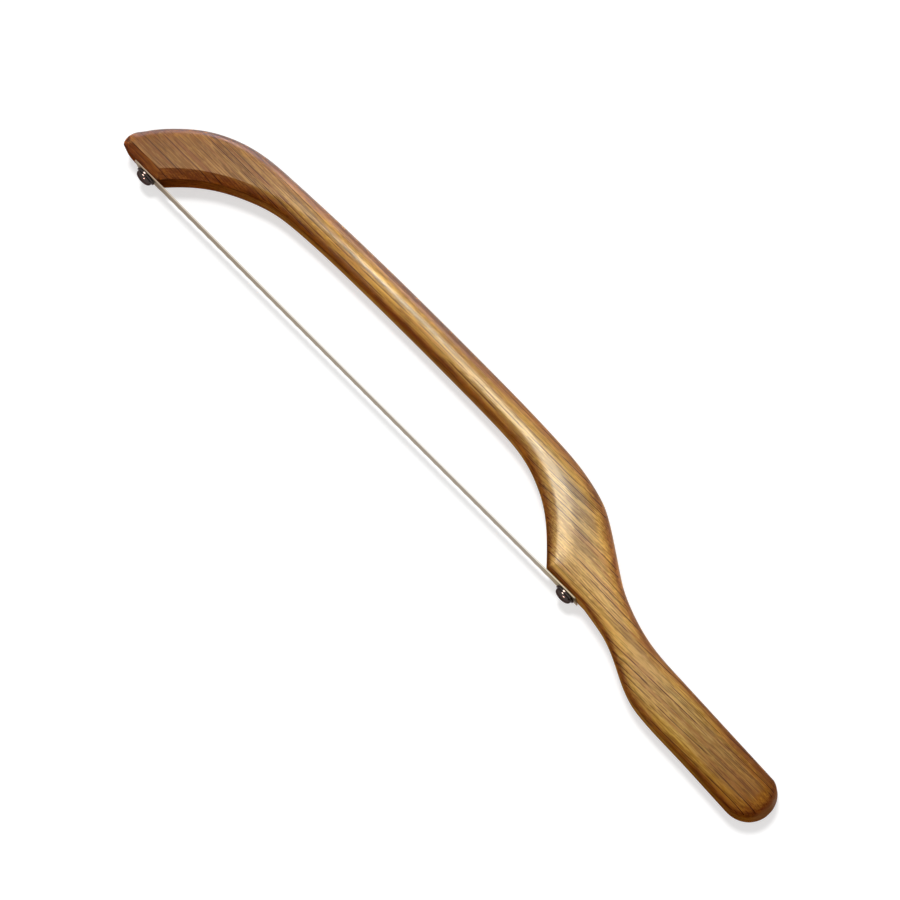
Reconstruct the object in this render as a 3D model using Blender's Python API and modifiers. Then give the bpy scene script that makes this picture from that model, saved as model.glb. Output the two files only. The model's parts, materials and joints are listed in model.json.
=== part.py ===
"""Bread bow knife: a one-piece oak bow with a thin serrated blade strung across it.

The knife lies on its side. Lengths are in metres. x runs along the blade from its tip end to
its handle end, y from the blade towards the back of the bow, and z up from the table.
"""

import math

import bmesh
import bpy
import numpy as np

# Blade: a strip of stainless steel, scalloped along its lower edge.
BLADE_LENGTH = 0.280
BLADE_WIDTH = 0.013
BLADE_THICKNESS = 0.0006
BLADE_CORNER = 0.0003
TIP_HOLE_INSET = 0.00675
HANDLE_HOLE_INSET = 0.0058
PLAIN_END = 0.0135
SCALLOP_PITCH = 0.0063
SCALLOP_DEPTH = 0.0011
GRIND_HEIGHT = 0.0034
GRIND_WAVE = 0.0007
EDGE_THICKNESS = 0.00008

# Fixings: a flat washer and a domed screw at each end of the blade. A head's roundness of 1 is
# half an ellipsoid, and a lower one has fuller shoulders.
WASHER_DIAMETER = 0.010
WASHER_THICKNESS = 0.0010
SHANK_DIAMETER = 0.0042
HEAD_DIAMETER = 0.0084
HEAD_HEIGHT = 0.0023
HEAD_ROUNDNESS = 0.85
SCREW_LENGTH = 0.019
SCREW_POINT = 0.0045
RECESS_SPAN = 0.0046
RECESS_SLOT = 0.0009
RECESS_DEPTH = 0.0014
RECESS_TAPER = 0.55
RECESS_TURN = math.radians(20)

# Clearances: between faces that are pressed together, round the shank, and in the wood.
FACE_GAP = 0.00025
HOLE_CLEARANCE = 0.0003
PILOT_CLEARANCE = 0.00025
PILOT_SPARE_DEPTH = 0.0008
CUTTER_MARGIN = 0.002

# Bow: sawn from a flat board, with its edges rounded over on both faces.
BOARD_THICKNESS = 0.020
SLICE_GAP = 0.0299
ARM_WIDTH = 0.0145
NOSE_REACH = 0.0102
NOSE_LIFT = 0.0010
NOSE_LIFT_LENGTH = 0.0069
NOSE_ROUND = 0.0016
TIP_SEAT_LENGTH = 0.0133
HEEL_SEAT_LENGTH = 0.0185
HEEL_SEAT_OVERRUN = 0.0035

# Handle: a flat grip that hangs a little below the blade's line. Its round butt is fuller on the
# back's side, so that its very end sits a little towards the back.
HANDLE_REACH = 0.12345
HANDLE_START = 0.055
HANDLE_WIDTH = 0.0232
HANDLE_AXIS_DROP = 0.0044
HANDLE_TILT = math.radians(2.5)
BUTT_ROUND_INNER = 0.0136
BUTT_ROUND_BACK = 0.0080
BUTT_SKEW = 0.0011

# Inner edge of the bow beside each seat: distance from the seat, and share of the slice gap.
INNER_CURVE_TIP = (
    (0.0000, 0.000),
    (0.0055, 0.194),
    (0.0155, 0.477),
    (0.0255, 0.670),
    (0.0355, 0.809),
    (0.0455, 0.904),
    (0.0555, 0.947),
    (0.0705, 0.977),
    (0.0955, 0.996),
)
INNER_CURVE_HEEL = (
    (0.0850, 0.993),
    (0.0615, 0.976),
    (0.0515, 0.955),
    (0.0415, 0.897),
    (0.0315, 0.784),
    (0.0215, 0.614),
    (0.0115, 0.361),
    (0.0000, 0.000),
)

# Back of the bow: distance from the blade's near end, and share of the bow's whole height.
BACK_CURVE_TIP = (
    (-0.0102, 0.163),
    (-0.0080, 0.222),
    (-0.0040, 0.344),
    (0.0000, 0.447),
    (0.0050, 0.557),
    (0.0100, 0.652),
    (0.0200, 0.791),
    (0.0300, 0.880),
    (0.0400, 0.931),
    (0.0550, 0.960),
    (0.0800, 0.983),
    (0.1100, 0.997),
)
BACK_CURVE_HEEL = (
    (-0.1300, 1.000),
    (-0.1000, 0.994),
    (-0.0750, 0.984),
    (-0.0550, 0.966),
    (-0.0400, 0.936),
    (-0.0300, 0.892),
    (-0.0200, 0.820),
    (-0.0100, 0.692),
    (0.0000, 0.546),
)

# Waist between the heel block and the grip: distance past the blade's end, and height in y.
WAIST_BACK = ((0.010, 0.0180), (0.020, 0.0135), (0.030, 0.0103), (0.040, 0.0083))
WAIST_INNER = ((0.012, -0.0014), (0.020, -0.0032), (0.030, -0.0072), (0.040, -0.0120), (0.050, -0.0153))

# Rounding of the long edges: place, width, drop and roundness. A roundness of 1 is a full
# quarter round, and 0 is a flat chamfer that meets the face in a crisp ridge. A place below 0
# in the tip list is on the nose, and the heel and handle lists count from the blade's end.
INNER_EDGE_TIP = (
    (-0.0044, 0.0038, 0.0040, 0.40),
    (0.0060, 0.0040, 0.0040, 0.20),
    (0.0140, 0.0040, 0.0040, 0.20),
    (0.0300, 0.0034, 0.0040, 0.25),
    (0.0450, 0.0038, 0.0046, 0.45),
    (0.0600, 0.0046, 0.0060, 0.75),
    (0.0750, 0.0060, 0.0075, 1.00),
    (0.0900, 0.0069, 0.0080, 1.00),
)
INNER_EDGE_HEEL = (
    (-0.0800, 0.0069, 0.0080, 1.00),
    (-0.0550, 0.0085, 0.0085, 1.00),
    (-0.0350, 0.0100, 0.0085, 1.00),
    (-0.0230, 0.0075, 0.0065, 0.90),
    (-0.0150, 0.0042, 0.0040, 0.80),
    (0.0050, 0.0040, 0.0042, 0.80),
    (0.0250, 0.0056, 0.0060, 1.00),
    (0.0400, 0.0050, 0.0053, 1.00),
    (0.0600, 0.0047, 0.0048, 1.00),
)
BACK_EDGE_TIP = (
    (-0.0044, 0.0036, 0.0040, 0.70),
    (0.0060, 0.0032, 0.0040, 1.00),
    (0.0400, 0.0050, 0.0060, 1.00),
    (0.0750, 0.0069, 0.0080, 1.00),
)
BACK_EDGE_HEEL = (
    (-0.0800, 0.0069, 0.0080, 1.00),
    (-0.0400, 0.0075, 0.0080, 1.00),
    (-0.0100, 0.0065, 0.0070, 1.00),
    (0.0250, 0.0054, 0.0058, 1.00),
    (0.0600, 0.0047, 0.0048, 1.00),
)
ROUNDING_LIMIT = 0.475
DROP_LIMIT = 0.45

# How finely the shapes are faceted.
CORNER_STEPS = 6
TURN_STEPS = 40
DOME_STEPS = 9
SCALLOP_STEPS = 6
TRACE_STEP = 0.000125
EASING_LENGTH = 0.006
TIP_MITRE = 0.0024
ARM_START = 0.060
ARM_END_INSET = 0.080
SEAT_STEP = 0.0017
CURVE_STEP = 0.0027
ARM_STEP = 0.007
GRIP_STEP = 0.008
LEAST_STEP = 0.000001
MERGE_DISTANCE = 0.000002

# Values that follow from those above.
MID_HEIGHT = BOARD_THICKNESS / 2
BOW_HEIGHT = SLICE_GAP + ARM_WIDTH
BUTT_X = BLADE_LENGTH + HANDLE_REACH
HEEL_SEAT_START = BLADE_LENGTH - HEEL_SEAT_LENGTH
HEEL_SEAT_END = BLADE_LENGTH + HEEL_SEAT_OVERRUN
BLADE_OUTER = FACE_GAP + BLADE_THICKNESS
WASHER_INNER = BLADE_OUTER + FACE_GAP
WASHER_OUTER = WASHER_INNER + WASHER_THICKNESS
HEAD_SEAT = WASHER_OUTER + FACE_GAP
HOLE_RADIUS = SHANK_DIAMETER / 2 + HOLE_CLEARANCE
PILOT_RADIUS = SHANK_DIAMETER / 2 + PILOT_CLEARANCE
PILOT_DEPTH = SCREW_LENGTH - HEAD_SEAT + PILOT_SPARE_DEPTH
HOLE_PLACES = {"tip": TIP_HOLE_INSET, "handle": BLADE_LENGTH - HANDLE_HOLE_INSET}


def smooth_line(knots):
    """A natural cubic spline through the knots, as a function of x."""
    x, y = np.array(knots, float).T
    step = np.diff(x)
    count = len(x)
    system = np.eye(count)
    right = np.zeros(count)
    for i in range(1, count - 1):
        system[i, i - 1 : i + 2] = step[i - 1], 2 * (step[i - 1] + step[i]), step[i]
        right[i] = 6 * ((y[i + 1] - y[i]) / step[i] - (y[i] - y[i - 1]) / step[i - 1])
    bend = np.linalg.solve(system, right)

    def at(place):
        i = np.clip(np.searchsorted(x, place) - 1, 0, count - 2)
        before, after, span = place - x[i], x[i + 1] - place, step[i]
        curve = (bend[i] * after**3 + bend[i + 1] * before**3) / (6 * span)
        start = (y[i] / span - bend[i] * span / 6) * after
        end = (y[i + 1] / span - bend[i + 1] * span / 6) * before
        return curve + start + end

    return at


def grip_axis(place):
    """Height in y of the grip's centre line."""
    return -HANDLE_AXIS_DROP - math.tan(HANDLE_TILT) * (place - BLADE_LENGTH - HANDLE_START)


def grip_knots(side):
    """Knots of one long edge of the grip, on the +y side for 1 and the -y side for -1."""
    places = np.linspace(BLADE_LENGTH + HANDLE_START, BUTT_X, 4)
    return [(place, grip_axis(place) + side * HANDLE_WIDTH / 2) for place in places]


def inner_edge(place):
    """Height in y of the bow's inner edge, before the nose and butt are rounded."""
    curve = [(TIP_SEAT_LENGTH + along, share * SLICE_GAP) for along, share in INNER_CURVE_TIP]
    curve += [(HEEL_SEAT_START - along, share * SLICE_GAP) for along, share in INNER_CURVE_HEEL]
    waist = [(HEEL_SEAT_END, 0.0)]
    waist += [(BLADE_LENGTH + along, height) for along, height in WAIST_INNER]
    lift_start = -NOSE_REACH + NOSE_LIFT_LENGTH
    lift = NOSE_LIFT * np.clip((lift_start - place) / NOSE_LIFT_LENGTH, 0, 1) ** 2
    in_curve = (place > TIP_SEAT_LENGTH) & (place < HEEL_SEAT_START)
    past_heel = place > HEEL_SEAT_END
    height = np.where(in_curve, smooth_line(curve)(place), lift)
    return np.where(past_heel, smooth_line(waist + grip_knots(-1))(place), height)


def back_edge(place):
    """Height in y of the back of the bow, before the nose and butt are rounded."""
    knots = [(along, share * BOW_HEIGHT) for along, share in BACK_CURVE_TIP]
    knots[0] = (-NOSE_REACH, knots[0][1])
    knots += [(BLADE_LENGTH + along, share * BOW_HEIGHT) for along, share in BACK_CURVE_HEEL]
    knots += [(BLADE_LENGTH + along, height) for along, height in WAIST_BACK]
    return smooth_line(knots + grip_knots(1))(place)


def eased(values):
    """The values with their corners smoothed over EASING_LENGTH."""
    reach = round(EASING_LENGTH / TRACE_STEP)
    kernel = np.hanning(2 * reach + 1)
    padded = np.pad(values, reach, mode="edge")
    return np.convolve(padded, kernel / kernel.sum(), mode="valid")


def end_rounding(place, butt_round):
    """Share of the full width at each place: 0 at the very nose and butt, 1 past their rounds."""
    nose = np.clip((place + NOSE_REACH) / NOSE_ROUND, 0, 1)
    butt = np.clip((BUTT_X - place) / butt_round, 0, 1)
    return np.sqrt(1 - (1 - nose) ** 2) * np.sqrt(1 - (1 - butt) ** 2)


class BowEdge:
    """One long edge of the bow, traced from nose to butt, with the rounding it carries."""

    def __init__(self, places, heights, side, tip_rounding, heel_rounding):
        self.places = places
        self.heights = heights
        self.side = side
        rows = list(tip_rounding)
        rows += [(BLADE_LENGTH + row[0], *row[1:]) for row in heel_rounding]
        at, width, drop, roundness = np.array(rows).T
        self.width = eased(np.interp(places, at, width))
        self.drop = eased(np.interp(places, at, np.minimum(drop, DROP_LIMIT * BOARD_THICKNESS)))
        self.roundness = eased(np.interp(places, at, roundness))

    def corner(self, place, angle):
        """(y, drop left) where the corner has turned by this angle from the vertical side."""
        roundness = np.interp(place, self.places, self.roundness)
        turned = angle / (math.pi / 2)
        inset = (1 - roundness) * turned + roundness * (1 - math.cos(angle))
        rise = (1 - roundness) * turned + roundness * math.sin(angle)
        reach = self.width * inset
        near = np.abs(self.places - place) <= reach
        away = np.sqrt(reach[near] ** 2 - (self.places[near] - place) ** 2)
        around = self.side * self.heights[near] + away
        here = self.side * np.interp(place, self.places, self.heights)
        here += inset * np.interp(place, self.places, self.width)
        drop = np.interp(place, self.places, self.drop)
        return self.side * np.max(np.append(around, here)), drop * (1 - rise)


def trace_edges():
    """The inner edge and the back of the bow."""
    count = round((BUTT_X + NOSE_REACH) / TRACE_STEP) + 1
    places = np.linspace(-NOSE_REACH, BUTT_X, count)
    inner, back = inner_edge(places), back_edge(places)
    past_grip = np.clip(1 - (BUTT_X - places) / BUTT_ROUND_INNER, 0, 1)
    middle = (inner + back) / 2 + BUTT_SKEW * past_grip
    inner = middle + end_rounding(places, BUTT_ROUND_INNER) * (inner - middle)
    back = middle + end_rounding(places, BUTT_ROUND_BACK) * (back - middle)
    inner_side = BowEdge(places, inner, 1, INNER_EDGE_TIP, INNER_EDGE_HEEL)
    back_side = BowEdge(places, back, -1, BACK_EDGE_TIP, BACK_EDGE_HEEL)
    width_limit = ROUNDING_LIMIT * (back - inner)
    thin = (places > TIP_SEAT_LENGTH) & (places < BLADE_LENGTH + HANDLE_START)
    for edge in (inner_side, back_side):
        edge.width = np.where(thin, np.minimum(edge.width, width_limit), edge.width)
    return inner_side, back_side


def bow_section(inner_side, back_side, place):
    """The closed outline of the bow at one place along it, as (x, y, z) points."""
    least, most = 0.0, math.pi / 2
    if inner_side.corner(place, most)[0] > back_side.corner(place, most)[0]:
        for _ in range(30):
            angle = (least + most) / 2
            crossed = inner_side.corner(place, angle)[0] > back_side.corner(place, angle)[0]
            least, most = (least, angle) if crossed else (angle, most)
        most = least
    angles = np.linspace(0, most, CORNER_STEPS + 1)
    inner = np.array([inner_side.corner(place, angle) for angle in angles])
    back = np.array([back_side.corner(place, angle) for angle in angles])
    if most < math.pi / 2:
        level = (inner[:, 1] + back[:, 1]) / 2
        inner[:, 1] = back[:, 1] = level
        inner[-1, 0] = back[-1, 0] = (inner[-1, 0] + back[-1, 0]) / 2
    inner_z = MID_HEIGHT - inner[:, 1]
    back_z = MID_HEIGHT - back[:, 1]
    lower = [(y, MID_HEIGHT - z) for y, z in zip(inner[::-1, 0], inner_z[::-1])]
    upper = [(y, MID_HEIGHT + z) for y, z in zip(inner[:, 0], inner_z)]
    upper += [(y, MID_HEIGHT + z) for y, z in zip(back[::-1, 0], back_z[::-1])]
    lower_back = [(y, MID_HEIGHT - z) for y, z in zip(back[:, 0], back_z)]
    return [(place, y, z) for y, z in lower + upper + lower_back]


def bow_places():
    """Where the bow's sections stand: closer together where its outline turns."""
    nose = [NOSE_ROUND * (1 - math.cos(turn)) for turn in np.linspace(0, math.pi / 2, 6)]
    butt = [BUTT_ROUND_INNER * (1 - math.cos(turn)) for turn in np.linspace(0, math.pi / 2, 13)]
    places = [step - NOSE_REACH for step in nose] + [BUTT_X - step for step in butt]
    nose_end = NOSE_ROUND - NOSE_REACH
    arm_end = BLADE_LENGTH - ARM_END_INSET
    spans = (
        (nose_end, TIP_SEAT_LENGTH - TIP_MITRE, SEAT_STEP),
        (TIP_SEAT_LENGTH - TIP_MITRE, TIP_SEAT_LENGTH, TIP_MITRE / 4),
        (TIP_SEAT_LENGTH, ARM_START, CURVE_STEP),
        (ARM_START, arm_end, ARM_STEP),
        (arm_end, HEEL_SEAT_START, CURVE_STEP),
        (HEEL_SEAT_START, HEEL_SEAT_START + TIP_MITRE, TIP_MITRE / 4),
        (HEEL_SEAT_START + TIP_MITRE, BLADE_LENGTH + HANDLE_START, CURVE_STEP),
        (BLADE_LENGTH + HANDLE_START, BUTT_X - BUTT_ROUND_INNER, GRIP_STEP),
    )
    for start, end, step in spans:
        count = max(1, round((end - start) / step))
        places += list(np.linspace(start, end, count + 1))
    places = sorted(places)
    return [places[0]] + [b for a, b in zip(places, places[1:]) if b - a > LEAST_STEP]


def lofted(name, sections, capped):
    """A mesh bridged through closed sections of one point count."""
    bm = bmesh.new()
    rings = [[bm.verts.new(point) for point in section] for section in sections]
    for ring, following in zip(rings, rings[1:]):
        for i, corner in enumerate(ring):
            j = (i + 1) % len(ring)
            bm.faces.new((corner, ring[j], following[j], following[i]))
    if capped:
        bm.faces.new(rings[0][::-1])
        bm.faces.new(rings[-1])
    bmesh.ops.remove_doubles(bm, verts=bm.verts, dist=MERGE_DISTANCE)
    bmesh.ops.recalc_face_normals(bm, faces=bm.faces)
    mesh = bpy.data.meshes.new(name)
    bm.to_mesh(mesh)
    bm.free()
    return mesh


def bow_mesh():
    inner_side, back_side = trace_edges()
    sections = [bow_section(inner_side, back_side, place) for place in bow_places()]
    return lofted("bow_frame", sections, capped=False)


def scallop(place):
    """How high the cutting edge stands at this place: 0 at a point, 1 in the hollow's middle."""
    start, end = PLAIN_END, BLADE_LENGTH - PLAIN_END
    if place <= start or place >= end:
        return 0.0
    count = max(1, round((end - start) / SCALLOP_PITCH))
    along = (place - start) / (end - start) * count % 1
    return 1 - (2 * along - 1) ** 2


def blade_section(place):
    """The blade's outline at one place: spine, ground face and cutting edge."""
    from_end = min(place, BLADE_LENGTH - place)
    rounding = max(0.0, BLADE_CORNER - from_end)
    corner = BLADE_CORNER - math.sqrt(max(0.0, BLADE_CORNER**2 - rounding**2))
    top = MID_HEIGHT + BLADE_WIDTH / 2 - corner
    base = MID_HEIGHT - BLADE_WIDTH / 2
    hollow = scallop(place)
    edge = base + corner + SCALLOP_DEPTH * hollow
    grind = base + GRIND_HEIGHT - GRIND_WAVE * (1 - hollow)
    ground = PLAIN_END - SCALLOP_PITCH / 4 < from_end
    lip = FACE_GAP + EDGE_THICKNESS if ground else BLADE_OUTER
    return [
        (place, -FACE_GAP, top),
        (place, -BLADE_OUTER, top),
        (place, -BLADE_OUTER, grind),
        (place, -lip, edge),
        (place, -FACE_GAP, edge),
    ]


def blade_places():
    start, end = PLAIN_END, BLADE_LENGTH - PLAIN_END
    count = max(1, round((end - start) / SCALLOP_PITCH))
    ends = [BLADE_CORNER * (1 - math.cos(turn)) for turn in np.linspace(0, math.pi / 2, 5)]
    ends += [PLAIN_END - SCALLOP_PITCH / 3, PLAIN_END - SCALLOP_PITCH / 5]
    serrated = list(np.linspace(start, end, count * SCALLOP_STEPS + 1))
    return sorted(ends + serrated + [BLADE_LENGTH - step for step in ends])


def blade_mesh():
    sections = [blade_section(place) for place in blade_places()]
    return lofted("blade", sections, capped=True)


def turned(name, profile, closed):
    """An object turned about its own Z axis from (radius, z) points, outer side top to bottom."""
    mesh = bpy.data.meshes.new(name)
    edges = [(i, i + 1) for i in range(len(profile) - 1)]
    if closed:
        edges.append((len(profile) - 1, 0))
    mesh.from_pydata([(radius, 0, z) for radius, z in profile], edges, [])
    obj = bpy.data.objects.new(name, mesh)
    turn = obj.modifiers.new("turn", "SCREW")
    turn.steps = TURN_STEPS
    turn.render_steps = TURN_STEPS
    turn.use_merge_vertices = True
    turn.merge_threshold = MERGE_DISTANCE
    return obj


def washer(end):
    """A flat washer. Its local Z points out of the wood, from the seat's plane."""
    rim, bore = WASHER_DIAMETER / 2, HOLE_RADIUS
    profile = [(rim, WASHER_OUTER), (rim, WASHER_INNER), (bore, WASHER_INNER), (bore, WASHER_OUTER)]
    return turned(f"{end}_washer", profile, closed=True)


def screw(end):
    """A domed wood screw. Its local Z points out of the wood, from the seat's plane."""
    rim, shank = HEAD_DIAMETER / 2, SHANK_DIAMETER / 2
    dome = [(0, HEAD_SEAT + HEAD_HEIGHT)]
    for turn in np.linspace(math.pi / 2, 0, DOME_STEPS)[1:]:
        radius = rim * math.cos(turn) ** HEAD_ROUNDNESS
        dome.append((radius, HEAD_SEAT + HEAD_HEIGHT * math.sin(turn) ** HEAD_ROUNDNESS))
    tip = HEAD_SEAT - SCREW_LENGTH
    shaft = [(shank, HEAD_SEAT), (shank, tip + SCREW_POINT), (0, tip)]
    return turned(f"{end}_screw", dome + shaft, closed=False)


def recess_bar(end, name, turn):
    """One bar of the cutter for a head's cross recess, narrower at its bottom."""
    bm = bmesh.new()
    bmesh.ops.create_cube(bm, size=1)
    depth = 2 * RECESS_DEPTH
    for vert in bm.verts:
        taper = 1 if vert.co.z > 0 else RECESS_TAPER
        vert.co.x *= RECESS_SPAN * taper
        vert.co.y *= RECESS_SLOT
        vert.co.z *= depth
    mesh = bpy.data.meshes.new(f"{end}_recess_{name}")
    bm.to_mesh(mesh)
    bm.free()
    bar = bpy.data.objects.new(mesh.name, mesh)
    bar.location.z = HEAD_SEAT + HEAD_HEIGHT
    bar.rotation_euler.z = turn
    return bar


def drill(name, place, radius, start, end):
    """A cylinder along y, from start to end, centred on the blade's width."""
    bm = bmesh.new()
    bmesh.ops.create_cone(
        bm, cap_ends=True, segments=TURN_STEPS, radius1=radius, radius2=radius, depth=end - start
    )
    mesh = bpy.data.meshes.new(name)
    bm.to_mesh(mesh)
    bm.free()
    obj = bpy.data.objects.new(name, mesh)
    obj.rotation_euler.x = math.pi / 2
    obj.location = (place, (start + end) / 2, MID_HEIGHT)
    return obj


def cut(obj, cutter):
    modifier = obj.modifiers.new(cutter.name, "BOOLEAN")
    modifier.operation = "DIFFERENCE"
    modifier.object = cutter


def finish(name, colour, roughness, metallic):
    material = bpy.data.materials.new(name)
    material.use_nodes = True
    shader = material.node_tree.nodes["Principled BSDF"]
    shader.inputs["Base Color"].default_value = (*colour, 1)
    shader.inputs["Roughness"].default_value = roughness
    shader.inputs["Metallic"].default_value = metallic
    return material


def shade_round(mesh):
    mesh.shade_smooth()
    mesh.set_sharp_from_angle(angle=math.radians(35))


def new_collection(name):
    collection = bpy.data.collections.new(name)
    bpy.context.scene.collection.children.link(collection)
    return collection


def clear_scene():
    for obj in list(bpy.data.objects):
        bpy.data.objects.remove(obj)


def place_piece(obj, collection, parent, material=None):
    collection.objects.link(obj)
    obj.parent = parent
    if material:
        obj.data.materials.append(material)


def place_cutter(obj, collection, parent):
    place_piece(obj, collection, parent)
    obj.hide_render = True
    obj.display_type = "WIRE"


def build():
    clear_scene()
    knife = new_collection("bread_bow_knife")
    cutters = new_collection("cutters")
    oak = finish("oiled_oak", (0.33, 0.18, 0.07), 0.38, 0.0)
    blade_steel = finish("blade_steel", (0.62, 0.59, 0.54), 0.3, 1.0)
    fixing_steel = finish("fixing_steel", (0.42, 0.40, 0.38), 0.18, 1.0)

    bow = bow_mesh()
    outline = np.array([vert.co[:2] for vert in bow.vertices])
    middle = (outline.min(axis=0) + outline.max(axis=0)) / 2
    datum = bpy.data.objects.new("knife_datum", None)
    datum.location = (-middle[0], -middle[1], 0)
    knife.objects.link(datum)

    shade_round(bow)
    frame = bpy.data.objects.new("bow_frame", bow)
    place_piece(frame, knife, datum, oak)
    blade = bpy.data.objects.new("blade", blade_mesh())
    place_piece(blade, knife, datum, blade_steel)

    for end, place in HOLE_PLACES.items():
        pilot = drill(f"{end}_pilot", place, PILOT_RADIUS, -CUTTER_MARGIN, PILOT_DEPTH)
        reach = BLADE_OUTER + CUTTER_MARGIN
        hole = drill(f"{end}_blade_hole", place, HOLE_RADIUS, -reach, CUTTER_MARGIN)
        for piece, cutter in ((frame, pilot), (blade, hole)):
            place_cutter(cutter, cutters, datum)
            cut(piece, cutter)

        fixing = bpy.data.objects.new(f"{end}_fixing", None)
        fixing.location = (place, 0, MID_HEIGHT)
        fixing.rotation_euler.x = math.pi / 2
        place_piece(fixing, knife, datum)
        place_piece(washer(end), knife, fixing, fixing_steel)
        fastener = screw(end)
        place_piece(fastener, knife, fixing, fixing_steel)
        for name, turn in (("along", RECESS_TURN), ("across", RECESS_TURN + math.pi / 2)):
            bar = recess_bar(end, name, turn)
            place_cutter(bar, cutters, fixing)
            cut(fastener, bar)


build()
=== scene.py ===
"""Bread bow knife: its oak bow, serrated blade and fixings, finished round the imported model.

Lengths are in metres. The shapes are drawn in the maker's own frame: x along the blade from its
tip end to its handle end, y from the blade towards the back of the bow, z up from the table. The
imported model's blade says where that frame lies.
"""

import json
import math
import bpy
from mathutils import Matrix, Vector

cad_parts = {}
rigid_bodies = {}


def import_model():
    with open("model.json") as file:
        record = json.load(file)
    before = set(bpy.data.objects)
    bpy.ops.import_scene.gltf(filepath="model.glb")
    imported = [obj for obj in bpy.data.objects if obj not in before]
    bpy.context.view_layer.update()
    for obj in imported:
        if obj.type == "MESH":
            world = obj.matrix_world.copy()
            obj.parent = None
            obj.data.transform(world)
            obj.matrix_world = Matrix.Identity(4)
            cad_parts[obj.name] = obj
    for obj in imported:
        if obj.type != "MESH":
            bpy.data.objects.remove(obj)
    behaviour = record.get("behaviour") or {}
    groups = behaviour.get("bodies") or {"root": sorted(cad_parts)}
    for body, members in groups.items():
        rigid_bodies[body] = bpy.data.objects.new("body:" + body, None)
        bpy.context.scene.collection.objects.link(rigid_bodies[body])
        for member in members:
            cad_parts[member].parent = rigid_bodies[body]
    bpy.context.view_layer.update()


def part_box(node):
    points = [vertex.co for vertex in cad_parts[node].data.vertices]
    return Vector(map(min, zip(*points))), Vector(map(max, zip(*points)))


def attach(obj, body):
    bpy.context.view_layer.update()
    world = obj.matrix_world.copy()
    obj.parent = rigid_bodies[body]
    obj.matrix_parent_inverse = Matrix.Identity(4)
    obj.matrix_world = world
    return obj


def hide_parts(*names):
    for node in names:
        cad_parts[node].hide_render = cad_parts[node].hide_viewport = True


bl_info = {
    "name": "Bread Bow Knife",
    "version": (1, 0, 0),
    "blender": (4, 5, 0),
    "location": "3D View > Sidebar > Bow Knife",
    "description": "Dresses the packed bread bow knife and lights it for a product picture",
    "category": "Object",
}

from functools import partial

import bmesh
import bpy
import numpy as np
from mathutils import Matrix, Vector

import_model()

MM = 0.001
BODY = "root"

# The photograph's view, worked out from the ends of the blade and the outline of the bow.
PHOTO_WIDTH = 900
VIEW_AZIMUTH = math.radians(66)
VIEW_ELEVATION = math.radians(73.5)
VIEW_ROLL = math.radians(-20.236)
VIEW_DISTANCE = 2.5
PIXELS_PER_METRE = 2316
VIEW_MIDDLE = Vector((0.19895, 0.01377, 0.010))
PIXELS_RIGHT = 20.42
SENSOR_WIDTH = 36

# The key light comes from high above the photograph's upper edge.
KEY_ELEVATION = math.radians(75.5)
KEY_WIDTH = math.radians(10)

# Lamps that show only in reflections, as (name, place, size, watts, colour): they face
# GLOSS_TARGET, and put the sheen along the arm's crest and the bright patch on the heel block. The
# distant ones, as (name, direction, degrees across, strength, colour, what they light), glance off
# the bow's back and glint on the screws and washers.
GLOSS_LAMPS = (
    ("arm_gloss", (0.071, 0.098, 0.303), 0.11, 1.6, "#f2f6e0"),
    ("block_gloss", (0.179, 0.014, 0.123), 0.08, 0.66, "#f6fae8"),
)
GLOSS_TARGET = Vector((0.200, 0.020, 0.020))
GLOSS_SUNS = (
    ("back_gloss", (-0.42, 0.91, 0.03), 40, 1.7, "#d0dcff", "oil_rubbed_oak"),
    ("nose_gloss", (-0.78, 0.63, 0.04), 40, 1.1, "#b0c0ff", "oil_rubbed_oak"),
    ("fixing_glint", (-0.29, 0.02, 0.954), 22, 5.5, "#fffaf0", "polished_stainless_fixings"),
    ("front_glint", (0.24, -0.80, 0.55), 10, 4.0, "#ffdcd0", "polished_stainless_fixings"),
)

# White paper behind the knife: a low, broad light on the colour of the bow's back wall, as
# (direction, degrees across, strength). BOUNCE is what the paper underneath throws back, which
# lies a FLOOR_DROP under the knife.
BACK_FILL = ((-0.3, 0.95, 0.06), 40, 0.9)
BOUNCE = 0.4
FLOOR_REACH = 30
FLOOR_DROP = 0.1 * MM

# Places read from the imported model. Faces that press together lie a FACE_GAP apart.
BLADE_LOW, BLADE_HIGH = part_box("blade")
BLADE_LENGTH = BLADE_HIGH.x - BLADE_LOW.x
BLADE_WIDTH = BLADE_HIGH.z - BLADE_LOW.z
BLADE_THICKNESS = BLADE_HIGH.y - BLADE_LOW.y
FACE_GAP = 0.25 * MM
ORIGIN = Vector((BLADE_LOW.x, BLADE_HIGH.y + FACE_GAP, 0))
BOARD_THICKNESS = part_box("bow_frame")[1].z
MID_HEIGHT = BOARD_THICKNESS / 2
BUTT_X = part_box("bow_frame")[1].x - ORIGIN.x
NOSE_REACH = ORIGIN.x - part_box("bow_frame")[0].x

# Bow: sawn from a flat board, with its edges rounded over on both faces.
SLICE_GAP = 29.9 * MM
ARM_WIDTH = 14.5 * MM
BOW_HEIGHT = SLICE_GAP + ARM_WIDTH
NOSE_LIFT = 1.0 * MM
NOSE_LIFT_LENGTH = 6.9 * MM
NOSE_ROUND = 1.6 * MM
TIP_SEAT_LENGTH = 13.3 * MM
HEEL_SEAT_START = BLADE_LENGTH - 18.5 * MM
HEEL_SEAT_END = BLADE_LENGTH + 3.5 * MM
HANDLE_START = 55 * MM
HANDLE_WIDTH = 23.2 * MM
HANDLE_AXIS_DROP = 4.4 * MM
HANDLE_TILT = math.radians(2.5)
BUTT_ROUND_INNER = 13.6 * MM
BUTT_ROUND_BACK = 8.0 * MM
BUTT_SKEW = 1.1 * MM

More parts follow.
